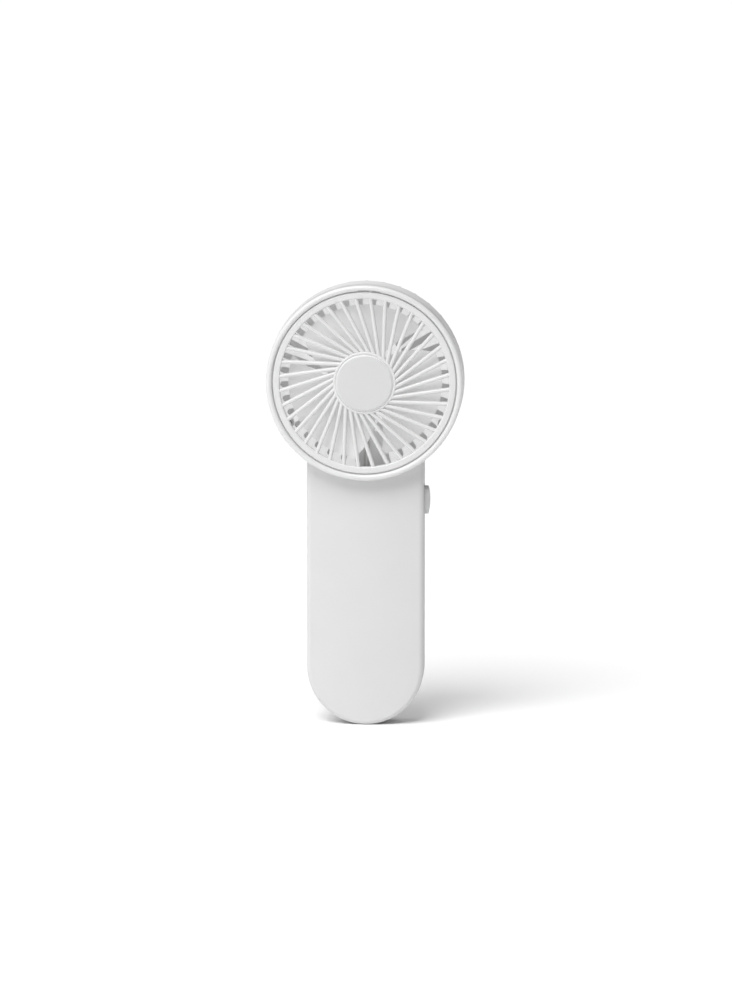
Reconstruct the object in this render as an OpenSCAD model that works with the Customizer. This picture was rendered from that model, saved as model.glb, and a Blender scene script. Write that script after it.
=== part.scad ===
// Handheld electric fan: a round ducted head on a flat rechargeable grip.
// Millimetres. X is to the right, Y to the back and Z up. The origin is under the grip's rounded
// lower end, halfway between the front and the back of the head.

/* [Head] */
// Outside diameter of the head
head_d = 80; // [79:0.5:82]
// Depth of the head, from the front bead to the back cover
head_depth = 21; // [21:0.5:23]
// Height of the head's axis above the lower end of the grip
head_z = 141.7; // [138:0.2:150]
// Radius of the half-round bead on the front ring
bead_r = 1.2; // [1.1:0.05:1.25]
// Gap between the front ring and the grille
grille_gap = 0.35; // [0.25:0.05:0.45]

/* [Front grille] */
// Number of spokes
spoke_count = 36; // [24:1:40]
// Width of a spoke
spoke_w = 1.6; // [1.2:0.1:1.8]
// Radius of the circle that the straight spokes are tangent to
spoke_tangent_r = 7.3; // [5:0.1:8]
// Direction of the first spoke, in degrees
spoke_phase = 8.2; // [0:0.1:15]
// Width of the grille's rim
rim_w = 2.75; // [2.4:0.05:3]
// Radius of the hub boss
boss_r = 12.8; // [12.4:0.1:13.5]
// Radius of the hub cap
cap_r = 11.65; // [11:0.05:11.65]
// How far the grille turns to unlock, in degrees
twist = 6.5; // [5:0.5:6.5]

/* [Rotor] */
// Number of blades
blade_count = 3; // [3:1:5]
// Radius of the blade tips
tip_r = 31.3; // [28:0.1:33]
// Radius of the rotor hub
hub_r = 10.5; // [10.5:0.1:11]
// Height of a blade along the axis
blade_h = 5.8; // [4:0.1:6]
// Thickness of a blade in its middle
blade_t = 1.1; // [0.8:0.1:1.2]

/* [Air inlet] */
// Number of slots in the inlet plate
slot_count = 36; // [24:1:36]
// Width of an inlet slot
slot_w = 2.4; // [1.6:0.1:2.5]
// Number of fins between the drum and the rear cover
fin_count = 36; // [24:2:44]
// Width of a fin
fin_w = 1.2; // [0.8:0.1:1.4]

/* [Grip] */
// Width of the grip
grip_w = 47.6; // [47:0.2:50]
// Thickness of the grip
grip_t = 15; // [15:0.1:15.4]
// Radius of the grip's front edges
front_edge_r = 2; // [1.6:0.1:4.6]
// Radius of the grip's back edges
edge_r = 3; // [2.6:0.1:3.4]
// Wall thickness of the housings
wall = 1.8; // [1.6:0.1:1.9]
// Gap shown at each parting line
seam = 0.12; // [0.05:0.01:0.2]

/* [Power button] */
// Length of the button
button_l = 11.6; // [10:0.1:12]
// Width of the button
button_w = 6; // [5:0.1:6.2]
// How far the button stands out of the grip
button_out = 2.35; // [1.8:0.05:3]
// Height of the button's middle
button_z = 92.3; // [91.5:0.1:92.4]
// Travel of the button
button_travel = 0.5; // [0.2:0.1:0.5]

/* [Battery] */
// Width of the cell
cell_w = 34; // [28:1:35]
// Length of the cell
cell_l = 50; // [40:1:50]
// Thickness of the cell
cell_t = 8; // [6:0.1:8.2]

/* [Hidden] */
// Forward places are measured from the middle of the head's depth towards the viewer, along -Y.
fn = 96;
small_fn = 32;
cut = 0.1;
head_r = head_d / 2;
front_f = head_depth / 2;
back_f = -head_depth / 2;

// Front ring: a bead, a wall with a ledge that the grille sits on, and a spigot into the drum
ring_step = 0.1;
bead_f = front_f - bead_r;
ring_r = head_r - ring_step - 2 * bead_r;
ring_seam_f = front_f - 5;
ledge_r = ring_r - 2.3;
ledge_f = front_f - 3.2;
ledge_t = 1;
spigot_r = head_r - wall - 0.1;
spigot_t = 0.9;
spigot_l = 1.5;
pocket_depth = 0.5;
pry_pocket = [128, 139];
tab_pocket = [80, 94];

// Front grille
rim_r = ring_r - grille_gap;
rim_back_f = ledge_f + 0.1;
rim_front_f = front_f - 0.7;
spoke_back_f = front_f - 2.6;
spoke_front_f = front_f - 0.9;
boss_back_f = front_f - 2.9;
boss_wall = 1.05;
boss_front_f = front_f - 0.75;
boss_floor_f = front_f - 1.3;
boss_floor_t = 1.1;
cap_front_f = front_f - 0.05;
cap_edge_r = 0.9;
cap_pin_r = 1.2;
cap_pin_x = 6;
tab_a = 86;
tab_half = 0.8;
hook_angles = [20, 140, 260];
hook_half = 2;
hook_leg = [ledge_r + 0.2, ledge_r + 1];
hook_foot_r = ledge_r + 1.75;

// Drum between the front ring and the inlet plate, with three screw ears and a tongue
drum_in_r = head_r - wall;
drum_back_f = -5;
drum_edge_r = 1;
stop_f = -2.3;
stop_t = 1;
stop_w = 1.4;
ear_angles = [90, 210, 330];
ear_at = head_r - 3.8;
ear_r = 2.2;
ear_front_f = -2.1;
ear_back_f = -3.1;
tongue_w = 24;
tongue_y = [1, 4];
tongue_z = 96;
neck_screw = [8, 99.2];

// Inlet plate, which also carries the motor
plate_r = drum_in_r - 0.1;
plate_t = 1.6;
plate_front_f = drum_back_f + plate_t;
slot_in = 18;
slot_out = 35;
slot_tangent_r = 2;
window = [-96.5, -73.5];
window_r = [22, 36.4];
pedestal_r = 14.6;
pedestal_f = plate_front_f + 0.5;

// Rear cover, held off the drum by its fins
cover_r = head_r - 0.8;
cover_t = 1.5;
cover_edge_r = 2.2;
skirt_t = 1.5;
skirt_f = back_f + 3.2;
fin_out_r = head_r - 0.4;
fin_in_r = head_r - 3.4;
fin_back_f = back_f + 2.5;
fin_front_f = drum_back_f - 0.06;
lead_gap = 4.4;

// Motor, from the back to the front
base_f = [pedestal_f, pedestal_f + 1.3];
base_r = 9.8;
base_ear_at = 12.3;
base_ear_r = 2.5;
pad_f = base_f[1] + 0.4;
tube_r = 3;
bearing_r = 2;
bearing_f = [-3.2, 3.6];
tube_f = [-5.7, 3.7];
shaft_r = 1;
shaft_fit = 0.03;
shaft_f = [-4.4, 6.3];
groove_r = 0.8;
clip_f = [-3.9, -3.6];
lead_hole = [3.2, 2.2];
lead_hole_r = 5.6;
board_disc_r = 6.8;
core_f = [0.6, 3.6];
core_r = 7.2;
coil_f = [-0.1, 4.3];
magnet_r = [7.5, 8.7];
magnet_f = [-0.6, 4.6];
yoke_r = 9.4;
yoke_t = 0.7;
yoke_back_f = -0.9;
hub_back_f = -1.1;
hub_front_f = 6.9;
hub_wall = 1.2;
tooth_count = 6;
tooth_w = 1.6;

// Blades: each one runs from its leading edge at the back to its trailing edge at the front
blade_back_f = 0.3;
lead_edge = [58, -0.8];
trail_edge = [54, -1.5];
span_steps = 12;
chord_steps = 28;
root_r = hub_r - 0.6;

// Grip, split at its middle plane
grip_r = grip_w / 2;
grip_back_y = head_depth / 2 - 0.5;
grip_mid_y = grip_back_y - grip_t / 2;
grip_top = head_z - head_r / 2;
head_clear = 0.12;
lip_t = 0.8;
lip_h = 1.2;
lip_top = 77;
low_screw = [11, 12];
top_screw = [18.2, 101];
pillar_r = 2.4;
screw_r = 0.95;
pilot_r = 1;
through_r = 1.2;
head_hole_r = 2.1;
screw_seat_y = grip_back_y - 2.2;

// Main board and what stands on it: the port and the switch are centred on the parting plane
board_x = 19.4;
board_z = [79, 95];
port_half_h = 1.63;
board_y = [grip_mid_y + port_half_h, grip_mid_y + port_half_h + 1.2];
board_screw = [10, 82];
port_z = 88;
port_w = 8.94;
port_l = 7.35;
port_out = 0.4;
port_skin = 0.3;
light_z = 80.5;
light_r = 1;
switch_l = 4.6;
switch_w = 4.5;
switch_h = 3.5;
switch_x = 19.4;
plunger_r = 0.9;
flange_x = [switch_x + 1.2, grip_r - wall - 0.15];
flange_l = 14;
flange_w = 7.2;
button_fit = 0.15;
button_crown_r = 25;
cell_z = 25;
cell_y = [grip_back_y - wall - 1.9 - cell_t, grip_back_y - wall - 1.9];

// Leads: routes through the housings, chosen by hand
lead_r = 0.4;
motor_lead_route = [[1.25, head_z - 5.5], [6.6, head_z - 5.8], [7.2, 98.6], [5.8, 94.4], [5.7, 92.4]];
battery_lead_route = [[2.3, 75.9], [2.3, 78], [3.6, 79.8], [3.6, 81.6]];

// ---- Shared shapes ----

// Head frame: X to the right, Y up and Z forwards, with the head's axis on Z
module head_frame() {
    translate([0, 0, head_z]) rotate([90, 0, 0]) children();
}

// Part of a ring between two angles, two radii and two forward places
module sector(a0, a1, r0, r1, f0, f1) {
    rotate([0, 0, a0])
        rotate_extrude(angle = a1 - a0, $fn = fn)
            translate([r0, f0]) square([r1 - r0, f1 - f0]);
}

// A ring or disc round Z
module ring(r0, r1, f0, f1) {
    rotate_extrude($fn = fn) translate([r0, f0]) square([r1 - r0, f1 - f0]);
}

// Rectangle standing on the X axis with its two upper corners rounded
module soft_top(w, h, r) {
    square([w, h - r]);
    translate([r, 0]) square([w - 2 * r, h]);
    translate([r, h - r]) circle(r, $fn = small_fn);
    translate([w - r, h - r]) circle(r, $fn = small_fn);
}

// Flat outline with two round ends, centred, long along X
module pill(l, w) {
    square([l - w, w], center = true);
    for (s = [-1, 1]) translate([s * (l - w) / 2, 0]) circle(w / 2, $fn = small_fn);
}

// Extrusion of a flat outline along +X: the outline's X becomes Z and its Y becomes Y
module along_x(x0, x1) {
    translate([x0, 0, 0]) rotate([0, 90, 0]) linear_extrude(x1 - x0) rotate(90) mirror([0, 1])
        rotate(90) children();
}

// Round bar between two points
module bar(p, q, r) {
    d = q - p;
    l = norm(d);
    translate(p) rotate([0, acos(d[2] / l), atan2(d[1], d[0])]) cylinder(l, r, r, $fn = small_fn);
}

// Wire through a list of points
module wire(points, r) {
    for (i = [0 : len(points) - 2]) bar(points[i], points[i + 1], r);
    for (i = [1 : len(points) - 2])
        translate(points[i]) rotate([37, 23, 0]) sphere(r * 1.04, $fn = small_fn);
}

// Screw along +Y in the model's frame: the head's flat side faces -Y and the shank runs to +Y
module screw(head, head_l, shank, shank_l) {
    difference() {
        union() {
            rotate([90, 0, 0]) cylinder(head_l, head, head, $fn = small_fn);
            rotate([-90, 0, 0]) cylinder(shank_l, shank, shank, $fn = small_fn);
        }
        for (a = [0, 90])
            rotate([0, a, 0])
                translate([-head * 0.6, -head_l - cut, -head * 0.13])
                    cube([head * 1.2, head_l * 0.5 + cut, head * 0.26]);
    }
}

// ---- Head ----

module ring_profile() {
    translate([ring_r, ring_seam_f]) square([2 * bead_r, bead_f - ring_seam_f]);
    translate([ring_r + bead_r, bead_f]) circle(bead_r, $fn = fn);
    translate([ledge_r, ledge_f - ledge_t]) square([ring_r - ledge_r + cut, ledge_t]);
    translate([spigot_r - spigot_t, ring_seam_f - spigot_l]) square([spigot_t, spigot_l + cut]);
}

module front_ring() {
    ledge_back_f = ledge_f - ledge_t;
    color("whitesmoke") head_frame() difference() {
        rotate_extrude($fn = fn) ring_profile();
        for (p = [pry_pocket, tab_pocket])
            sector(p[0], p[1], ledge_r + 1, ring_r + pocket_depth, ledge_f, front_f + cut);
        for (a = hook_angles) {
            sector(a - hook_half - 0.6, a + twist + hook_half + 0.6,
                ledge_r - cut, hook_leg[1] + 0.2, ledge_back_f - cut, ledge_f + cut);
            sector(a + twist - hook_half - 0.4, a + twist + hook_half + 0.4,
                ledge_r - cut, hook_foot_r + 0.2, ledge_back_f - cut, ledge_f + cut);
        }
    }
}

module spoke() {
    from = sqrt(pow(boss_r - 0.5, 2) - pow(spoke_tangent_r, 2));
    to = sqrt(pow(rim_r - rim_w + 0.8, 2) - pow(spoke_tangent_r, 2));
    translate([from, -spoke_tangent_r, 0])
        rotate([90, 0, 90])
            linear_extrude(to - from)
                translate([-spoke_w / 2, spoke_back_f])
                    soft_top(spoke_w, spoke_front_f - spoke_back_f, spoke_w / 2 - 0.01);
}

module grille_profile() {
    translate([rim_r - rim_w, rim_back_f]) soft_top(rim_w, rim_front_f - rim_back_f, 0.6);
    translate([boss_r - boss_wall, boss_back_f])
        soft_top(boss_wall, boss_front_f - boss_back_f, boss_wall / 2 - 0.01);
    translate([0, boss_floor_f - boss_floor_t]) square([boss_r - 0.3, boss_floor_t]);
}

module front_grille() {
    ledge_back_f = ledge_f - ledge_t;
    color("whitesmoke") head_frame() difference() {
        union() {
            rotate_extrude($fn = fn) grille_profile();
            for (i = [0 : spoke_count - 1]) rotate([0, 0, spoke_phase + i * 360 / spoke_count]) spoke();
            sector(tab_a - tab_half, tab_a + tab_half,
                rim_r - 0.3, ring_r + pocket_depth - 0.2, rim_back_f + 0.2, rim_front_f - 0.5);
            for (a = hook_angles) {
                sector(a - hook_half, a + hook_half,
                    hook_leg[0], hook_leg[1], ledge_back_f - 1.1, rim_back_f + 0.3);
                sector(a - hook_half, a + hook_half,
                    hook_leg[0], hook_foot_r, ledge_back_f - 1.1, ledge_back_f - 0.4);
            }
        }
        for (s = [-1, 1])
            translate([s * cap_pin_x, 0, boss_floor_f - boss_floor_t - cut])
                cylinder(boss_floor_t + 2 * cut, cap_pin_r + 0.05, cap_pin_r + 0.05, $fn = small_fn);
    }
}

module grille_cap() {
    cap_back_f = boss_floor_f + 0.02;
    color("gainsboro") head_frame() {
        rotate_extrude($fn = fn) {
            translate([0, cap_back_f]) square([cap_r - cap_edge_r, cap_front_f - cap_back_f]);
            translate([0, cap_back_f]) square([cap_r, cap_front_f - cap_edge_r - cap_back_f]);
            intersection() {
                translate([cap_r - cap_edge_r, cap_front_f - cap_edge_r]) circle(cap_edge_r, $fn = fn);
                translate([0, cap_back_f]) square([cap_r + cut, cap_front_f - cap_back_f]);
            }
        }
        for (s = [-1, 1])
            translate([s * cap_pin_x, 0, boss_floor_f - boss_floor_t])
                cylinder(boss_floor_t + 0.1, cap_pin_r, cap_pin_r, $fn = small_fn);
    }
}

module drum_profile() {
    length = ring_seam_f - seam - drum_back_f;
    translate([head_r, drum_back_f + length]) rotate(180) {
        square([wall, length]);
    }
    translate([drum_in_r - stop_w, stop_f - stop_t]) square([stop_w + cut, stop_t]);
}

module head_shell() {
    color("white") difference() {
        union() {
            head_frame() difference() {
                rotate_extrude($fn = fn) drum_profile();
                rotate_extrude($fn = fn) difference() {
                    translate([head_r - drum_edge_r, drum_back_f - cut])
                        square([drum_edge_r + cut, drum_edge_r + cut]);
                    translate([head_r - drum_edge_r, drum_back_f + drum_edge_r])
                        circle(drum_edge_r, $fn = small_fn);
                }
            }
            head_frame() for (a = ear_angles) rotate([0, 0, a])
                translate([ear_at, 0, ear_back_f])
                    cylinder(ear_front_f - ear_back_f, ear_r, ear_r, $fn = small_fn);
            difference() {
                translate([-tongue_w / 2, tongue_y[0], tongue_z])
                    cube([tongue_w, tongue_y[1] - tongue_y[0], head_z - head_r * 0.8 - tongue_z]);
                head_frame() ring(0, drum_in_r + 0.4, -front_f, front_f);
            }
        }
        head_frame() for (a = ear_angles) rotate([0, 0, a])
            translate([ear_at, 0, stop_f - stop_t - cut])
                cylinder(3, 0.9, 0.9, $fn = small_fn);
        for (s = [-1, 1])
            translate([s * neck_screw[0], tongue_y[0] - cut, neck_screw[1]])
                rotate([-90, 0, 0]) cylinder(4, through_r, through_r, $fn = small_fn);
    }
}

module inlet_slot() {
    middle = (slot_in + slot_out) / 2;
    translate([middle, slot_tangent_r]) pill(slot_out - slot_in, slot_w);
}

module lead_window() {
    reach = window_r[1] * 2;
    intersection() {
        difference() {
            circle(window_r[1], $fn = fn);
            circle(window_r[0], $fn = fn);
        }
        polygon([
            [0, 0],
            [reach * cos(window[0]), reach * sin(window[0])],
            [reach * cos(window[1]), reach * sin(window[1])]
        ]);
    }
}

module lead_hole() {
    translate([0, -lead_hole_r]) square(lead_hole, center = true);
}

module inlet_grille() {
    color("white") head_frame() {
        translate([0, 0, drum_back_f]) linear_extrude(plate_t) difference() {
            circle(plate_r, $fn = fn);
            for (i = [0 : slot_count - 1]) rotate(i * 360 / slot_count + 1) inlet_slot();
            lead_window();
            lead_hole();
            circle(tube_r + 0.3, $fn = fn);
            for (a = ear_angles) rotate(a) translate([ear_at, 0]) circle(0.9, $fn = small_fn);
            for (a = ear_angles) rotate(a) translate([base_ear_at, 0]) circle(0.65, $fn = small_fn);
        }
        translate([0, 0, plate_front_f]) linear_extrude(pedestal_f - plate_front_f) difference() {
            circle(pedestal_r, $fn = fn);
            circle(tube_r + 0.3, $fn = fn);
            lead_hole();
            for (a = ear_angles) rotate(a) translate([base_ear_at, 0]) circle(0.65, $fn = small_fn);
        }
    }
}

module cover_profile() {
    difference() {
        translate([0, back_f]) square([cover_r, skirt_f - back_f]);
        translate([-cut, back_f + cover_t]) square([cover_r - skirt_t + cut, cover_r]);
        difference() {
            translate([cover_r - cover_edge_r, back_f - cut])
                square([cover_edge_r + cut, cover_edge_r + cut]);
            translate([cover_r - cover_edge_r, back_f + cover_edge_r]) circle(cover_edge_r, $fn = fn);
        }
    }
}

module rear_cover() {
    inner_f = back_f + cover_t;
    color("whitesmoke") head_frame() difference() {
        union() {
            rotate_extrude($fn = fn) cover_profile();
            for (i = [0 : fin_count - 1]) rotate([0, 0, i * 360 / fin_count])
                translate([fin_in_r, -fin_w / 2, fin_back_f])
                    cube([fin_out_r - fin_in_r, fin_w, fin_front_f - fin_back_f]);
            for (a = ear_angles) rotate([0, 0, a]) translate([ear_at, 0, inner_f - 0.1])
                cylinder(fin_front_f - inner_f + 0.1, ear_r - 0.2, ear_r - 0.2, $fn = small_fn);
        }
        for (a = ear_angles) rotate([0, 0, a]) translate([ear_at, 0, inner_f + 0.2])
            cylinder(10, 0.8, 0.8, $fn = small_fn);
        translate([-lead_gap / 2, -head_r - 1, inner_f]) cube([lead_gap, 5, 10]);
    }
}

// ---- Rotor ----

function lead_angle(r) = lead_edge[0] + lead_edge[1] * (r - 10.5);
function trail_angle(r) = trail_edge[0] + trail_edge[1] * (r - 10.5) + 360 / blade_count;
// Half thickness across the chord, thinner towards both edges
function blade_half(v) = blade_t / 2 * (0.35 + 0.65 * sin(180 * v));
function blade_point(u, v, side) =
    let (r = root_r + (tip_r - root_r) * u)
    let (a = lead_angle(r) + (trail_angle(r) - lead_angle(r)) * v)
    let (f = blade_back_f + blade_h * v + 0.5 * sin(180 * v))
    [r * cos(a), r * sin(a), f + side * blade_half(v)];

module blade() {
    rows = span_steps + 1;
    cols = chord_steps + 1;
    sheet = rows * cols;
    points = [
        for (side = [1, -1]) for (i = [0 : span_steps]) for (j = [0 : chord_steps])
            blade_point(i / span_steps, j / chord_steps, side)
    ];
    front = [
        for (i = [0 : span_steps - 1]) for (j = [0 : chord_steps - 1])
            let (a = i * cols + j)
            each [[a, a + cols + 1, a + cols], [a, a + 1, a + cols + 1]]
    ];
    back = [for (t = front) [t[0] + sheet, t[2] + sheet, t[1] + sheet]];
    rim = concat(
        [for (j = [0 : chord_steps - 1]) [j, j + 1]],
        [for (i = [0 : span_steps - 1]) [i * cols + chord_steps, (i + 1) * cols + chord_steps]],
        [for (j = [chord_steps : -1 : 1]) [span_steps * cols + j, span_steps * cols + j - 1]],
        [for (i = [span_steps : -1 : 1]) [i * cols, (i - 1) * cols]]
    );
    sides = [
        for (e = rim)
            each [[e[0], e[0] + sheet, e[1] + sheet], [e[0], e[1] + sheet, e[1]]]
    ];
    polyhedron(points, concat(front, back, sides));
}

module fan_rotor() {
    color("white") head_frame() union() {
        rotate_extrude($fn = fn) difference() {
            translate([0, hub_back_f]) union() {
                square([hub_r - 1, hub_front_f - hub_back_f]);
                square([hub_r, hub_front_f - hub_back_f - 1]);
                translate([hub_r - 1, hub_front_f - hub_back_f - 1]) circle(1, $fn = small_fn);
            }
            translate([-cut, hub_back_f - cut])
                square([yoke_r + cut, hub_front_f - hub_wall - hub_back_f + cut]);
        }
        ring(shaft_r, 2.2, 4.2, hub_front_f - hub_wall + 0.2);
        for (i = [0 : blade_count - 1]) rotate([0, 0, i * 360 / blade_count]) blade();
    }
}

module rotor_yoke() {
    front = hub_front_f - hub_wall;
    color("silver") head_frame() {
        ring(2.4, yoke_r, front - yoke_t, front);
        ring(yoke_r - yoke_t, yoke_r, yoke_back_f, front - yoke_t / 2);
    }
}

module rotor_magnet() {
    color("dimgray") head_frame() ring(magnet_r[0], magnet_r[1], magnet_f[0], magnet_f[1]);
}

module motor_shaft() {
    color("silver") head_frame() rotate_extrude($fn = fn) difference() {
        translate([0, shaft_f[0]]) square([shaft_r, hub_front_f - hub_wall - shaft_f[0]]);
        translate([groove_r, clip_f[0] - 0.02]) square([1, clip_f[1] - clip_f[0] + 0.04]);
    }
}

module shaft_clip() {
    color("dimgray") head_frame() sector(30, 330, groove_r, 1.7, clip_f[0], clip_f[1]);
}

// ---- Motor ----

module thrust_washer() {
    color("tan") head_frame() ring(1.06, 1.9, bearing_f[0] - 0.3, bearing_f[0]);
}

module sleeve_bearing() {
    color("peru") head_frame() ring(shaft_r + shaft_fit, bearing_r, bearing_f[0], bearing_f[1]);
}

module motor_base() {
    color("white") head_frame() {
        difference() {
            union() {
                translate([0, 0, base_f[0]]) linear_extrude(base_f[1] - base_f[0]) {
                    circle(base_r, $fn = fn);
                    for (a = ear_angles) rotate(a) {
                        translate([0, -base_ear_r]) square([base_ear_at, 2 * base_ear_r]);
                        translate([base_ear_at, 0]) circle(base_ear_r, $fn = small_fn);
                    }
                }
                ring(0, board_disc_r, base_f[0], pad_f);
                ring(0, tube_r, tube_f[0], tube_f[1]);
            }
            ring(0, bearing_r, tube_f[0] + 0.7, tube_f[1] + cut);
            translate([0, 0, base_f[0] - cut]) linear_extrude(3) lead_hole();
            for (a = ear_angles) rotate([0, 0, a]) translate([base_ear_at, 0, base_f[0] - cut])
                cylinder(3, 0.8, 0.8, $fn = small_fn);
        }
    }
}

module stator_core() {
    color("slategray") head_frame() translate([0, 0, core_f[0]])
        linear_extrude(core_f[1] - core_f[0]) difference() {
            union() {
                circle(4, $fn = fn);
                for (i = [0 : tooth_count - 1]) rotate(i * 360 / tooth_count) {
                    translate([0, -tooth_w / 2]) square([core_r - 0.4, tooth_w]);
                    intersection() {
                        difference() {
                            circle(core_r, $fn = fn);
                            circle(core_r - 0.8, $fn = fn);
                        }
                        polygon([[0, 0], [9, -4], [9, 4]]);
                    }
                }
            }
            circle(tube_r, $fn = fn);
        }
}

module stator_coils() {
    inner = 4.3;
    outer = core_r - 1.3;
    half = 1.75;
    color("chocolate") head_frame()
        for (i = [0 : tooth_count - 1]) rotate([0, 0, i * 360 / tooth_count]) difference() {
            translate([inner, 0, 0]) rotate([90, 0, 90]) linear_extrude(outer - inner)
                translate([-half, coil_f[0]]) {
                    translate([0.5, 0]) square([2 * half - 1, coil_f[1] - coil_f[0]]);
                    translate([0, 0.5]) square([2 * half, coil_f[1] - coil_f[0] - 1]);
                    for (x = [0.5, 2 * half - 0.5]) for (y = [0.5, coil_f[1] - coil_f[0] - 0.5])
                        translate([x, y]) circle(0.5, $fn = small_fn);
                }
            translate([inner - cut, -tooth_w / 2 - 0.02, core_f[0] - 0.02])
                cube([outer - inner + 2 * cut, tooth_w + 0.04, core_f[1] - core_f[0] + 0.04]);
        }
}

module motor_board() {
    color("seagreen") head_frame() difference() {
        ring(tube_r + 0.1, board_disc_r, pad_f, pad_f + 0.8);
        translate([board_disc_r, 0, pad_f - cut]) cylinder(2, 0.9, 0.9, $fn = small_fn);
    }
}

module motor_screws() {
    color("silver") head_frame() for (a = ear_angles) rotate([0, 0, a])
        translate([base_ear_at, 0, base_f[1]]) rotate([-90, 0, 0]) screw(1.4, 0.7, 0.6, 2.8);
}

module head_screws() {
    color("silver") head_frame() for (a = ear_angles) rotate([0, 0, a])
        translate([ear_at, 0, ear_front_f]) rotate([-90, 0, 0]) screw(1.3, 0.9, 0.75, 6);
}

// ---- Grip ----

// Half outline across the grip, moved inwards by inset: half width along X, forwards along Y
module grip_outline(inset) {
    half_w = grip_r - inset;
    half_t = grip_t / 2 - inset;
    front = max(front_edge_r - inset, 0.3);
    back = edge_r - inset;
    polygon([
        [0, -half_t], [half_w - back, -half_t], [half_w, back - half_t],
        [half_w, half_t - front], [half_w - front, half_t], [0, half_t]
    ]);
    translate([half_w - back, back - half_t]) circle(back, $fn = fn);
    translate([half_w - front, half_t - front]) circle(front, $fn = fn);
}

// Grip-shaped body from a half outline, up to a height: straight sides above a half-round lower end
module grip_body(top) {
    length = top - grip_r;
    translate([0, grip_mid_y, grip_r]) rotate([90, 0, 0]) {
        for (s = [0, 1]) mirror([s, 0, 0])
            translate([0, length, 0]) rotate([90, 0, 0]) linear_extrude(length) children();
        rotate([0, 0, 180]) rotate_extrude(angle = 180, $fn = fn) children();
    }
}

// Half outline of a housing's wall between two forward places
module wall_outline(y0, y1) {
    intersection() {
        difference() {
            grip_outline(0);
            grip_outline(wall);
        }
        translate([0, y0]) square([grip_w, y1 - y0]);
    }
}

// Half outline of the lip that centres the front housing on the rear one
module lip_outline() {
    step = -seam / 2;
    difference() {
        union() {
            intersection() {
                grip_outline(wall + 0.08);
                translate([0, step - cut]) square([grip_w, lip_h + cut - step]);
            }
            intersection() {
                grip_outline(wall - 0.5);
                translate([0, step - lip_h]) square([grip_w, lip_h]);
            }
        }
        grip_outline(wall + lip_t);
    }
}

module head_bore() {
    head_frame() cylinder(4 * head_depth, head_r + head_clear, head_r + head_clear, center = true, $fn = fn);
}

// Openings in the grip's sides, centred on the parting plane
module side_openings() {
    translate([0, grip_mid_y, button_z]) along_x(grip_r - wall - 1, grip_r + 1)
        pill(button_l + 2 * button_fit, button_w + 2 * button_fit);
    translate([0, grip_mid_y, port_z]) along_x(-grip_r - 1, wall + 1 - grip_r)
        pill(port_w + 0.4, 2 * port_half_h + 0.4);
    translate([0, grip_mid_y, light_z]) along_x(-grip_r - 1, wall + 1 - grip_r)
        circle(light_r + 0.08, $fn = small_fn);
}

// Round pillar along Y between two places
module pillar(x, z, r, y0, y1) {
    translate([x, y0, z]) rotate([-90, 0, 0]) cylinder(y1 - y0, r, r, $fn = small_fn);
}

module handle_front() {
    inside_y = grip_back_y - grip_t + wall;
    color("whitesmoke") difference() {
        union() {
            grip_body(grip_top) wall_outline(seam / 2, grip_t);
            for (s = [-1, 1]) {
                pillar(s * low_screw[0], low_screw[1], pillar_r, inside_y - 0.4, grip_mid_y - seam / 2);
                pillar(s * top_screw[0], top_screw[1], pillar_r, inside_y - 0.4, grip_mid_y - seam / 2);
                pillar(s * neck_screw[0], neck_screw[1], pillar_r, inside_y - 0.4, tongue_y[0]);
            }
        }
        head_bore();
        side_openings();
        for (s = [-1, 1]) {
            pillar(s * low_screw[0], low_screw[1], pilot_r, inside_y + 0.3, grip_mid_y);
            pillar(s * top_screw[0], top_screw[1], pilot_r, inside_y + 0.3, grip_mid_y);
            pillar(s * neck_screw[0], neck_screw[1], pilot_r, inside_y + 0.3, grip_mid_y);
        }
    }
}

module handle_rear() {
    split_y = grip_mid_y + seam / 2;
    inner_back_y = grip_back_y - wall;
    color("whitesmoke") difference() {
        union() {
            grip_body(grip_top) wall_outline(-grip_t, -seam / 2);
            grip_body(lip_top) lip_outline();
            for (s = [-1, 1]) for (p = [low_screw, top_screw])
                pillar(s * p[0], p[1], pillar_r, split_y, inner_back_y + 0.4);
            for (s = [-1, 1])
                pillar(s * board_screw[0], board_screw[1], 2, board_y[1], inner_back_y + 0.4);
        }
        head_bore();
        side_openings();
        for (s = [-1, 1]) for (p = [low_screw, top_screw]) {
            pillar(s * p[0], p[1], through_r, split_y - 1, grip_back_y);
            pillar(s * p[0], p[1], head_hole_r, screw_seat_y, grip_back_y + 1);
        }
        for (s = [-1, 1])
            pillar(s * board_screw[0], board_screw[1], 0.8, board_y[1] - cut, inner_back_y);
    }
}

module handle_screws() {
    color("silver") for (s = [-1, 1]) for (p = [low_screw, top_screw])
        translate([s * p[0], screw_seat_y, p[1]]) rotate([0, 0, 180]) screw(1.9, 1.4, screw_r, 8.2);
}

module neck_screws() {
    color("silver") for (s = [-1, 1])
        translate([s * neck_screw[0], tongue_y[1], neck_screw[1]]) rotate([0, 0, 180])
            screw(1.9, 1.2, screw_r, 5);
}

module board_screws() {
    color("silver") for (s = [-1, 1])
        translate([s * board_screw[0], board_y[0], board_screw[1]]) screw(1.5, 1, 0.75, 3.4);
}

// ---- Button and switch ----

module button_block(l, w, x0, x1, edge) {
    for (s = [-1, 1]) translate([0, 0, s * (l - w) / 2])
        rotate([0, 90, 0]) rotate_extrude($fn = small_fn) intersection() {
            translate([-w / 2, x0]) soft_top(w, x1 - x0, edge);
            translate([0, x0 - 1]) square([w, x1 - x0 + 2]);
        }
    translate([0, 0, -(l - w) / 2]) linear_extrude(l - w) rotate(-90)
        translate([-w / 2, x0]) soft_top(w, x1 - x0, edge);
}

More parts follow.
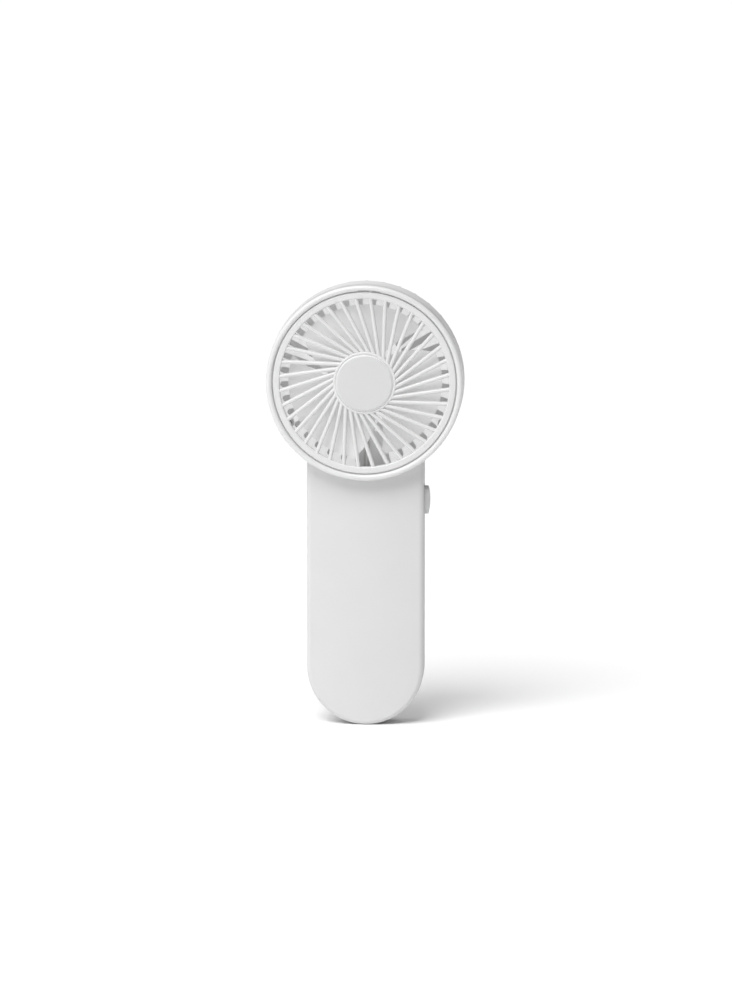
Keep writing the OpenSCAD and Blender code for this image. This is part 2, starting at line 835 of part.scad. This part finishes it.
module power_button() {
    top = grip_r + button_out;
    color("gainsboro") translate([0, grip_mid_y, button_z]) {
        intersection() {
            button_block(button_l, button_w, flange_x[0], top, 1);
            translate([top - button_crown_r, 0, 0]) rotate([90, 0, 0])
                cylinder(20, button_crown_r, button_crown_r, center = true, $fn = fn * 2);
        }
        along_x(flange_x[0], flange_x[1]) pill(flange_l, flange_w);
    }
}

module switch_plunger() {
    color("black") translate([0, grip_mid_y, button_z]) rotate([0, 90, 0])
        translate([0, 0, switch_x - 0.8]) cylinder(flange_x[0] - switch_x + 0.8, plunger_r, plunger_r, $fn = small_fn);
}

module tact_switch() {
    color("dimgray") difference() {
        translate([switch_x - switch_l, board_y[0] - switch_h, button_z - switch_w / 2])
            cube([switch_l, switch_h, switch_w]);
        translate([switch_x - 1.6, grip_mid_y, button_z]) rotate([0, 90, 0])
            cylinder(3, plunger_r + 0.1, plunger_r + 0.1, $fn = small_fn);
    }
}

// ---- Main board ----

module main_board() {
    color("seagreen") difference() {
        translate([-board_x, board_y[0], board_z[0]])
            cube([2 * board_x, board_y[1] - board_y[0], board_z[1] - board_z[0]]);
        for (s = [-1, 1]) pillar(s * board_screw[0], board_screw[1], 0.9, 0, 9);
    }
}

module board_part(x, z, w, h, t) {
    translate([x - w / 2, board_y[0] - t, z - h / 2]) cube([w, t, h]);
}

module board_parts() {
    color("black") {
        board_part(1, 89, 5, 5, 1);
        board_part(-7, 89.5, 4.2, 4.2, 2.4);
        board_part(9.5, 90, 3, 4, 1.2);
        for (i = [0 : 3]) board_part(-3 + 2.4 * i, 84.4, 1.2, 2, 0.9);
        pillar(-4, 81, 1.5, board_y[0] - 2.2, board_y[0]);
    }
}

module usb_port() {
    back_x = port_out + port_l - grip_r;
    color("silver") translate([0, grip_mid_y, port_z]) difference() {
        along_x(port_out - grip_r, back_x) pill(port_w, 2 * port_half_h);
        along_x(port_out - grip_r - cut, back_x - port_skin)
            pill(port_w - 2 * port_skin, 2 * port_half_h - 2 * port_skin);
    }
}

module usb_tongue() {
    back_x = port_out + port_l - grip_r - port_skin;
    color("black") translate([0, grip_mid_y, port_z]) {
        along_x(back_x - 1.4, back_x - 0.01)
            pill(port_w - 2 * port_skin - 0.04, 2 * port_half_h - 2 * port_skin - 0.04);
        translate([back_x - 6.2, -0.35, -3.35]) cube([5.2, 0.7, 6.7]);
    }
}

module charge_led() {
    color("honeydew") translate([-board_x, board_y[0] - 1.2, light_z - 0.8]) cube([1, 1.2, 1.6]);
}

module light_pipe() {
    color("honeydew") translate([0, grip_mid_y, light_z]) {
        along_x(0.05 - grip_r, -board_x - 0.1) circle(light_r, $fn = small_fn);
        along_x(wall + 0.05 - grip_r, wall + 0.7 - grip_r) circle(light_r + 0.6, $fn = small_fn);
    }
}

// ---- Battery ----

module battery_cell() {
    edge = 1.2;
    color("lightsteelblue") translate([-cell_w / 2, cell_y[0], cell_z]) linear_extrude(cell_l) {
        translate([edge, 0]) square([cell_w - 2 * edge, cell_t]);
        translate([0, edge]) square([cell_w, cell_t - 2 * edge]);
        for (x = [edge, cell_w - edge]) for (y = [edge, cell_t - edge])
            translate([x, y]) circle(edge, $fn = small_fn);
    }
}

module battery_pad() {
    color("dimgray") translate([-13, cell_y[1], cell_z + 4]) cube([26, 1.9, cell_l - 8]);
}

module battery_board() {
    color("seagreen") {
        translate([-14, 0.3, cell_z + cell_l + 0.05]) cube([28, 4, 0.8]);
        translate([-3, 1.2, cell_z + cell_l + 0.85]) cube([3, 2, 0.9]);
    }
}

module battery_lead() {
    color("firebrick") for (x = [5, 7.2])
        wire([for (p = battery_lead_route) [x, p[0], p[1]]], lead_r);
}

module motor_lead() {
    color("firebrick") for (x = [-0.8, 0.8])
        wire([for (p = motor_lead_route) [x, p[0], p[1]]], lead_r);
}

front_ring();
front_grille();
grille_cap();
head_shell();
inlet_grille();
rear_cover();
fan_rotor();
rotor_yoke();
rotor_magnet();
motor_shaft();
shaft_clip();
thrust_washer();
sleeve_bearing();
motor_base();
stator_core();
stator_coils();
motor_board();
motor_screws();
head_screws();
neck_screws();
handle_front();
handle_rear();
handle_screws();
power_button();
switch_plunger();
tact_switch();
main_board();
board_parts();
board_screws();
usb_port();
usb_tongue();
charge_led();
light_pipe();
battery_cell();
battery_pad();
battery_board();
battery_lead();
motor_lead();
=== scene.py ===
import math

import bmesh
import bpy
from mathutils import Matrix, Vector


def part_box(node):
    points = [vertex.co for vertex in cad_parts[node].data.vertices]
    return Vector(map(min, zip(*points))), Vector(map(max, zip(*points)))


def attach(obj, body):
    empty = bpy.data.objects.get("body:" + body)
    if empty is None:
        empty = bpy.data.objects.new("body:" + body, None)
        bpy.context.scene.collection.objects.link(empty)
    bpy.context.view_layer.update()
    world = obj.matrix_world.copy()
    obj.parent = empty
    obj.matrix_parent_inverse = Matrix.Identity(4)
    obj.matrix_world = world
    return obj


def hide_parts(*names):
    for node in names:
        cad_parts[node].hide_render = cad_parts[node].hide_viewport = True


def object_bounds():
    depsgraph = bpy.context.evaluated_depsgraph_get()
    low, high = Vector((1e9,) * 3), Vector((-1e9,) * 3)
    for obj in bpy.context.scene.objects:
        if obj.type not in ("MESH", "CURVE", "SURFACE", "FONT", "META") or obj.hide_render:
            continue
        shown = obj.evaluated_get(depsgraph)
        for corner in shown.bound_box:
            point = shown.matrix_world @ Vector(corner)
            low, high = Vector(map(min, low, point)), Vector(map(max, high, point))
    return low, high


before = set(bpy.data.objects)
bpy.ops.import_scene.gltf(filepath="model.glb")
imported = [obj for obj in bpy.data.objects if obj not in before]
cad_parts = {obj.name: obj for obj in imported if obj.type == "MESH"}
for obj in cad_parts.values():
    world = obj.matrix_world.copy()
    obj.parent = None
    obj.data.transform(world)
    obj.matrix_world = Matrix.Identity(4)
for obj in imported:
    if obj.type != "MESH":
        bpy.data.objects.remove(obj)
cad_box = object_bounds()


# ---- Places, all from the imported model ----
def corners(node):
    """Lowest and highest corner of a CAD node."""
    return [Vector(c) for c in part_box(node)]


low, high = (Vector(c) for c in cad_box)
centre = (low + high) / 2
ring_low, ring_high = corners("front_ring")
head_z = (ring_low.z + ring_high.z) / 2
ring_front = ring_low.y
ring_outer_r = ring_high.x
cap_r = corners("grille_cap")[1].x


# ---- Small helpers ----
def show(name, data):
    """A new object in the scene that holds the given mesh, light or camera."""
    obj = bpy.data.objects.new(name, data)
    bpy.context.scene.collection.objects.link(obj)
    return obj


def direction(azimuth, elevation):
    """Unit vector away from the fan; azimuth is from straight in front, positive to the right."""
    a, e = math.radians(azimuth), math.radians(elevation)
    return Vector((math.sin(a) * math.cos(e), -math.cos(a) * math.cos(e), math.sin(e)))


def turned_back(away):
    """Rotation of a camera or light that stands away from the fan and faces it."""
    return away.to_track_quat("Z", "Y").to_euler()


# ---- Shader nodes ----
def new_material(name):
    mat = bpy.data.materials.new(name)
    mat.use_nodes = True
    nodes = mat.node_tree.nodes
    return mat, nodes, mat.node_tree.links, nodes["Principled BSDF"]


def own_coords(nodes):
    """The object's own coordinates, which are the model's metres."""
    return nodes.new("ShaderNodeTexCoord").outputs["Object"]


def noise(nodes, links, coords, scale, detail=3.0, rough=0.5):
    tex = nodes.new("ShaderNodeTexNoise")
    tex.inputs["Scale"].default_value = scale
    tex.inputs["Detail"].default_value = detail
    tex.inputs["Roughness"].default_value = rough
    links.new(coords, tex.inputs["Vector"])
    return tex.outputs["Fac"]


def ramp(nodes, links, value, stops):
    node = nodes.new("ShaderNodeValToRGB")
    while len(node.color_ramp.elements) < len(stops):
        node.color_ramp.elements.new(0.5)
    for element, (place, colour) in zip(node.color_ramp.elements, stops):
        element.position = place
        element.color = (*colour, 1.0)
    links.new(value, node.inputs["Fac"])
    return node.outputs["Color"]


def spread(nodes, links, value, low_out, high_out):
    """Stretches the middle of a noise's range over the given two values."""
    node = nodes.new("ShaderNodeMapRange")
    node.inputs["From Min"].default_value = 0.3
    node.inputs["From Max"].default_value = 0.7
    node.inputs["To Min"].default_value = low_out
    node.inputs["To Max"].default_value = high_out
    links.new(value, node.inputs["Value"])
    return node.outputs["Result"]


def bump(nodes, links, shader, heights):
    """heights: (output, distance in metres) pairs, from coarse to fine."""
    last = None
    for value, distance in heights:
        node = nodes.new("ShaderNodeBump")
        node.inputs["Strength"].default_value = 0.6
        node.inputs["Distance"].default_value = distance
        links.new(value, node.inputs["Height"])
        if last:
            links.new(last, node.inputs["Normal"])
        last = node.outputs["Normal"]
    links.new(last, shader.inputs["Normal"])


def maths(nodes, links, operation, *values):
    """One Math node; each value is a number or another node's output."""
    node = nodes.new("ShaderNodeMath")
    node.operation = operation
    for slot, value in zip(node.inputs, values):
        if isinstance(value, bpy.types.NodeSocket):
            links.new(value, slot)
        else:
            slot.default_value = value
    return node.outputs[0]


def axes(nodes, links, vector):
    """The three outputs X, Y and Z of a vector."""
    split = nodes.new("ShaderNodeSeparateXYZ")
    links.new(vector, split.inputs["Vector"])
    return [split.outputs[axis] for axis in "XYZ"]


def shade(colour, factor):
    return tuple(min(1.0, c * factor) for c in colour)


def grey(value):
    return (value, value, value)


# ---- Materials ----
FLOW_SCALE = 55.0
FLOW_DEPTH = 2e-5
GLOSS_SCALE = 420.0
PLASTIC_IOR = 1.49
COAT_ROUGHNESS = 0.25


def moulded(name, colour, roughness, grain=9000.0, depth=6e-6, swing=0.012, coat=0.0, glow=0.0):
    """Moulded plastic: spark-eroded grain, slow flow marks and slightly uneven gloss.
    glow is painted light, an even emission that stands for the light that comes through the thin white
    walls around the duct."""
    mat, nodes, links, shader = new_material(name)
    coords = own_coords(nodes)
    flow = noise(nodes, links, coords, FLOW_SCALE, 2.0)
    fine = noise(nodes, links, coords, grain, 2.0, 0.6)
    patches = noise(nodes, links, coords, GLOSS_SCALE, 4.0, 0.6)
    stops = [(0.3, shade(colour, 1 - swing)), (0.7, shade(colour, 1 + swing))]
    links.new(ramp(nodes, links, flow, stops), shader.inputs["Base Color"])
    gloss = spread(nodes, links, patches, roughness - 0.04, roughness + 0.05)
    links.new(gloss, shader.inputs["Roughness"])
    shader.inputs["IOR"].default_value = PLASTIC_IOR
    shader.inputs["Coat Weight"].default_value = coat
    shader.inputs["Coat Roughness"].default_value = COAT_ROUGHNESS
    shader.inputs["Emission Color"].default_value = (1.0, 1.0, 1.0, 1.0)
    shader.inputs["Emission Strength"].default_value = glow
    bump(nodes, links, shader, [(flow, FLOW_DEPTH), (fine, depth)])
    return mat


def forward_glow(mat, glow):
    """Limits a moulding's glow to the faces that look forwards, into the duct."""
    nodes, links = mat.node_tree.nodes, mat.node_tree.links
    normal = nodes.new("ShaderNodeNewGeometry").outputs["Normal"]
    backwards = axes(nodes, links, normal)[1]
    facing = maths(nodes, links, "MULTIPLY", backwards, -glow)
    facing.node.use_clamp = True
    links.new(facing, nodes["Principled BSDF"].inputs["Emission Strength"])
    return mat


def band_glow(mat, inner, outer, front, glow):
    """Limits a glow to a band of radii about the head's axis, and to what lies behind front."""
    nodes, links = mat.node_tree.nodes, mat.node_tree.links
    across, back, up = axes(nodes, links, own_coords(nodes))
    over = maths(nodes, links, "SUBTRACT", up, head_z)
    squares = [maths(nodes, links, "MULTIPLY", side, side) for side in (across, over)]
    radius = maths(nodes, links, "SQRT", maths(nodes, links, "ADD", *squares))
    in_band = maths(nodes, links, "COMPARE", radius, (inner + outer) / 2, (outer - inner) / 2)
    behind = maths(nodes, links, "GREATER_THAN", back, front)
    lit = maths(nodes, links, "MULTIPLY", in_band, behind)
    strength = maths(nodes, links, "MULTIPLY", lit, glow)
    links.new(strength, nodes["Principled BSDF"].inputs["Emission Strength"])
    return mat


def metal(name, colour, roughness, grain=(2500.0, 2500.0, 120.0)):
    """Drawn or turned metal: fine marks stretched along one direction."""
    mat, nodes, links, shader = new_material(name)
    coords = own_coords(nodes)
    mapping = nodes.new("ShaderNodeMapping")
    mapping.inputs["Scale"].default_value = grain
    links.new(coords, mapping.inputs["Vector"])
    marks = noise(nodes, links, mapping.outputs["Vector"], 1.0, 3.0, 0.7)
    blotch = noise(nodes, links, coords, 300.0, 3.0)
    stops = [(0.3, shade(colour, 0.9)), (0.7, shade(colour, 1.06))]
    links.new(ramp(nodes, links, blotch, stops), shader.inputs["Base Color"])
    gloss = spread(nodes, links, marks, roughness - 0.08, roughness + 0.1)
    links.new(gloss, shader.inputs["Roughness"])
    shader.inputs["Metallic"].default_value = 1.0
    bump(nodes, links, shader, [(marks, 6e-6)])
    return mat


def board_material(name):
    """Solder mask over tracks: darker board with slightly raised, lighter copper runs."""
    mat, nodes, links, shader = new_material(name)
    cells = nodes.new("ShaderNodeTexVoronoi")
    cells.distance = "MANHATTAN"
    cells.feature = "F1"
    cells.inputs["Scale"].default_value = 420.0
    links.new(own_coords(nodes), cells.inputs["Vector"])
    tracks = cells.outputs["Distance"]
    stops = [(0.42, (0.012, 0.09, 0.04)), (0.5, (0.03, 0.19, 0.09))]
    links.new(ramp(nodes, links, tracks, stops), shader.inputs["Base Color"])
    shader.inputs["Roughness"].default_value = 0.35
    bump(nodes, links, shader, [(tracks, 1.5e-5)])
    return mat


def foam_material(name):
    """Black foam tape with open pores."""
    mat, nodes, links, shader = new_material(name)
    cells = nodes.new("ShaderNodeTexVoronoi")
    cells.inputs["Scale"].default_value = 2600.0
    links.new(own_coords(nodes), cells.inputs["Vector"])
    pores = cells.outputs["Distance"]
    stops = [(0.1, (0.01, 0.01, 0.011)), (0.6, (0.04, 0.04, 0.043))]
    links.new(ramp(nodes, links, pores, stops), shader.inputs["Base Color"])
    shader.inputs["Roughness"].default_value = 0.92
    bump(nodes, links, shader, [(pores, 1.2e-4)])
    return mat


# White mouldings that show from outside
grip_white = moulded("grip_white", grey(0.645), 0.50, grain=11000.0, depth=8e-6, swing=0.01)
body_white = moulded("body_white", grey(0.74), 0.46)
ring_white = moulded("ring_white", grey(0.70), 0.34, grain=15000.0, depth=2e-6, swing=0.008, coat=0.25)
grille_white = moulded("grille_white", grey(0.68), 0.36, grain=15000.0, depth=3e-6, swing=0.01, coat=0.15)
cap_grey = moulded(
    "cap_grey", (0.62, 0.62, 0.625), 0.38, grain=12000.0, depth=4e-6, swing=0.01, coat=0.1
)
button_grey = moulded(
    "button_grey", (0.54, 0.54, 0.545), 0.36, grain=12000.0, depth=3e-6, swing=0.01, coat=0.1
)

# White mouldings round the duct, with painted light: an emission that lightens their shade in place of
# the light that comes through their thin walls
blade_white = moulded("blade_white", grey(0.64), 0.45, grain=12000.0, depth=4e-6, glow=0.22)
plate_white = forward_glow(moulded("plate_white", grey(0.76), 0.5), 0.40)
cover_white = forward_glow(moulded("cover_white", grey(0.74), 0.46), 0.12)
inner_white = moulded("inner_white", grey(0.76), 0.5, glow=0.08)

# Painted light in the gap between ring and grille and in the groove between the cap and the hub boss: an
# emission that lightens the shade in these narrow openings
RING_WALL = 0.0018
RING_BEAD = 0.0012
BOSS_LIP = 0.0005
CAP_EDGE = 0.0003
CAP_PLAY = 0.0001
band_glow(ring_white, 0.0, ring_outer_r - RING_WALL, ring_front + RING_BEAD, 0.12)
band_glow(grille_white, cap_r, cap_r + BOSS_LIP, ring_front, 0.12)
band_glow(cap_grey, cap_r - CAP_EDGE, cap_r + CAP_PLAY, ring_front, 0.14)

# Other plastics, wrap and wire
lens = moulded("lens", (0.78, 0.80, 0.78), 0.25, depth=2e-6, swing=0.02, coat=0.5)
black_plastic = moulded("black_plastic", (0.022, 0.022, 0.024), 0.42, depth=5e-6, swing=0.1)
nylon = moulded("clip_nylon", (0.66, 0.62, 0.5), 0.45, grain=8000.0, depth=5e-6, swing=0.02)
cell_wrap = moulded("cell_wrap", (0.26, 0.36, 0.48), 0.3, grain=5000.0, depth=4e-6, swing=0.03, coat=0.4)
magnet_dark = moulded("magnet", (0.03, 0.03, 0.033), 0.55, grain=14000.0, depth=1e-5, swing=0.15)
lead_white = moulded("lead_white", (0.66, 0.66, 0.64), 0.42, grain=4000.0, depth=1e-5, swing=0.04)

# Metals, boards and foam
steel = metal("steel", (0.56, 0.56, 0.57), 0.3)
screw_steel = metal("screw_steel", (0.5, 0.5, 0.51), 0.34, grain=(900.0, 900.0, 900.0))
core_steel = metal("core_steel", (0.2, 0.21, 0.23), 0.45, grain=(60.0, 4200.0, 60.0))
port_steel = metal("port_steel", (0.62, 0.62, 0.63), 0.26)
bronze = metal("bronze", (0.55, 0.34, 0.14), 0.5, grain=(1500.0, 1500.0, 1500.0))
copper = metal("copper", (0.6, 0.22, 0.08), 0.3, grain=(60.0, 60.0, 7000.0))
board_green = board_material("board_green")
foam = foam_material("foam")

FINISH = {
    "front_ring": ring_white, "front_grille": grille_white, "grille_cap": cap_grey,
    "head_shell": body_white, "inlet_grille": plate_white, "rear_cover": cover_white,
    "fan_rotor": blade_white, "rotor_yoke": steel, "rotor_magnet": magnet_dark,
    "motor_shaft": steel, "shaft_clip": nylon, "thrust_washer": nylon, "sleeve_bearing": bronze,
    "motor_base": inner_white, "stator_core": core_steel, "stator_coils": copper,
    "motor_board": board_green, "motor_screws": screw_steel, "head_screws": screw_steel,
    "neck_screws": screw_steel, "handle_front": grip_white, "handle_rear": grip_white,
    "handle_screws": screw_steel, "power_button": button_grey, "switch_plunger": black_plastic,
    "tact_switch": black_plastic, "main_board": board_green, "board_parts": black_plastic,
    "board_screws": screw_steel, "usb_port": port_steel, "usb_tongue": black_plastic,
    "charge_led": lens, "light_pipe": lens, "battery_cell": cell_wrap, "battery_pad": foam,
    "battery_board": board_green, "battery_lead": lead_white, "motor_lead": lead_white,
}
for name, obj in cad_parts.items():
    for slot in obj.material_slots:
        slot.material = FINISH[name]

# ---- The grip's face, bowed across its width ----
FACE_BOW = 0.0018
FACE_STRIPS = 48
SAME_POINT = 1e-7
SAME_PLANE = 0.002
SHARP_EDGE = math.radians(30)


def smooth_mesh(mesh):
    """Soft shading with sharp edges, in place of the normals that came with the CAD mesh."""
    imported_normals = mesh.attributes.get("custom_normal")
    if imported_normals is not None:
        mesh.attributes.remove(imported_normals)
    mesh.shade_smooth()
    mesh.set_sharp_from_angle(angle=SHARP_EDGE)


def bowed_front(name, node):
    """The front housing with its face bowed about the parting plane: full height in the middle."""
    box_low, box_high = corners(node)
    half_width = box_high.x
    depth = box_high.y - box_low.y
    mesh = bpy.data.meshes.new(name)
    bm = bmesh.new()
    bm.from_mesh(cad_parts[node].data)
    bmesh.ops.remove_doubles(bm, verts=bm.verts, dist=SAME_POINT)
    bmesh.ops.dissolve_limit(bm, angle_limit=SAME_PLANE, verts=bm.verts, edges=bm.edges)
    for i in range(1, FACE_STRIPS):
        cut = (half_width * (2 * i / FACE_STRIPS - 1), 0, 0)
        geometry = bm.verts[:] + bm.edges[:] + bm.faces[:]
        bmesh.ops.bisect_plane(bm, geom=geometry, plane_co=cut, plane_no=(1, 0, 0), dist=SAME_POINT)
    for vert in bm.verts:
        drop = FACE_BOW * (vert.co.x / half_width) ** 2
        vert.co.y += drop * (box_high.y - vert.co.y) / depth
    bm.normal_update()
    bm.to_mesh(mesh)
    bm.free()
    smooth_mesh(mesh)
    obj = show(name, mesh)
    flatten = obj.modifiers.new("flat_sides", "WEIGHTED_NORMAL")
    flatten.keep_sharp = True
    return obj


face = bowed_front("grip_face", "handle_front")
face.data.materials.append(grip_white)
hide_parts("handle_front")
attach(face, "housing")

# ---- Camera ----
# A long lens, slightly to the button's side and slightly above, aimed at the object's middle
AZIMUTH = 3.3
ELEVATION = 9.5
DISTANCE = 3.0
VIEW_HEIGHT = 0.4066
SENSOR = 36.0
AIM_SHIFT = Vector((0.00014, 0.0, 0.0014))

cam_data = bpy.data.cameras.new("camera")
cam_data.sensor_fit = "VERTICAL"
cam_data.sensor_height = SENSOR
cam_data.lens = SENSOR * DISTANCE / VIEW_HEIGHT
cam_data.clip_start = 0.05
cam_data.clip_end = 20.0
camera = show("camera", cam_data)
away = direction(AZIMUTH, ELEVATION)
aim = Vector((centre.x, 0.0, centre.z)) + AIM_SHIFT
camera.location = aim + away * DISTANCE
camera.rotation_euler = turned_back(away)
bpy.context.scene.camera = camera

# ---- Floor ----
FLOOR_GREY = 0.97
FLOOR_HALF = 6.0
FLOOR_CORNERS = [(-1, -1), (1, -1), (1, 1), (-1, 1)]

floor_mat, nodes, links, shader = new_material("floor")
mottle = noise(nodes, links, own_coords(nodes), 3.0)
stops = [(0.3, grey(FLOOR_GREY - 0.005)), (0.7, grey(FLOOR_GREY))]
links.new(ramp(nodes, links, mottle, stops), shader.inputs["Base Color"])
shader.inputs["Roughness"].default_value = 0.9
shader.inputs["Specular IOR Level"].default_value = 0.2
floor_mesh = bpy.data.meshes.new("floor")
points = [(x * FLOOR_HALF, y * FLOOR_HALF, low.z) for x, y in FLOOR_CORNERS]
floor_mesh.from_pydata(points, [], [(0, 1, 2, 3)])
floor_mesh.materials.append(floor_mat)
floor = show("floor", floor_mesh)

# ---- Lights ----
# A softbox near the left front, aimed at the upper grip
BOX_AZIMUTH = -46.0
BOX_ELEVATION = 30.0
BOX_DISTANCE = 0.5
BOX_POWER = 0.5
BOX_TARGET = Vector((0.0, 0.0, 0.1))

box_data = bpy.data.lights.new("softbox", "AREA")
box_data.shape = "RECTANGLE"
box_data.size = 0.25
box_data.size_y = 0.4
box_data.energy = BOX_POWER
softbox = show("softbox", box_data)
away = direction(BOX_AZIMUTH, BOX_ELEVATION)
softbox.location = BOX_TARGET + away * BOX_DISTANCE
softbox.rotation_euler = turned_back(away)

# A broad key light from the upper left, which throws the shadow to the right
KEY_AZIMUTH = -22.0
KEY_ELEVATION = 56.0

key_data = bpy.data.lights.new("key", "SUN")
key_data.energy = 2.0
key_data.angle = math.radians(36.0)
key = show("key", key_data)
key.rotation_euler = turned_back(direction(KEY_AZIMUTH, KEY_ELEVATION))

# The dome is brightest overhead, like a large diffuser over a table, and leans to the left
DOME_TOP = 0.88
DOME_EDGE = 0.12
DOME_LEFT = 1.1

world = bpy.data.worlds.new("studio")
world.use_nodes = True
nodes, links = world.node_tree.nodes, world.node_tree.links
background = nodes["Background"]
background.inputs["Color"].default_value = (1.0, 1.0, 1.0, 1.0)
sky = nodes.new("ShaderNodeTexCoord").outputs["Generated"]
across, back, up = axes(nodes, links, sky)
height = maths(nodes, links, "MAXIMUM", up, 0.0)
overhead = maths(nodes, links, "MULTIPLY", maths(nodes, links, "POWER", height, 2.0), DOME_TOP)
lean = maths(nodes, links, "MULTIPLY_ADD", across, -DOME_LEFT, 1.0)
leaning = maths(nodes, links, "MULTIPLY", overhead, lean)
links.new(maths(nodes, links, "ADD", leaning, DOME_EDGE), background.inputs["Strength"])
bpy.context.scene.world = world
bpy.context.scene.view_settings.view_transform = "Standard"
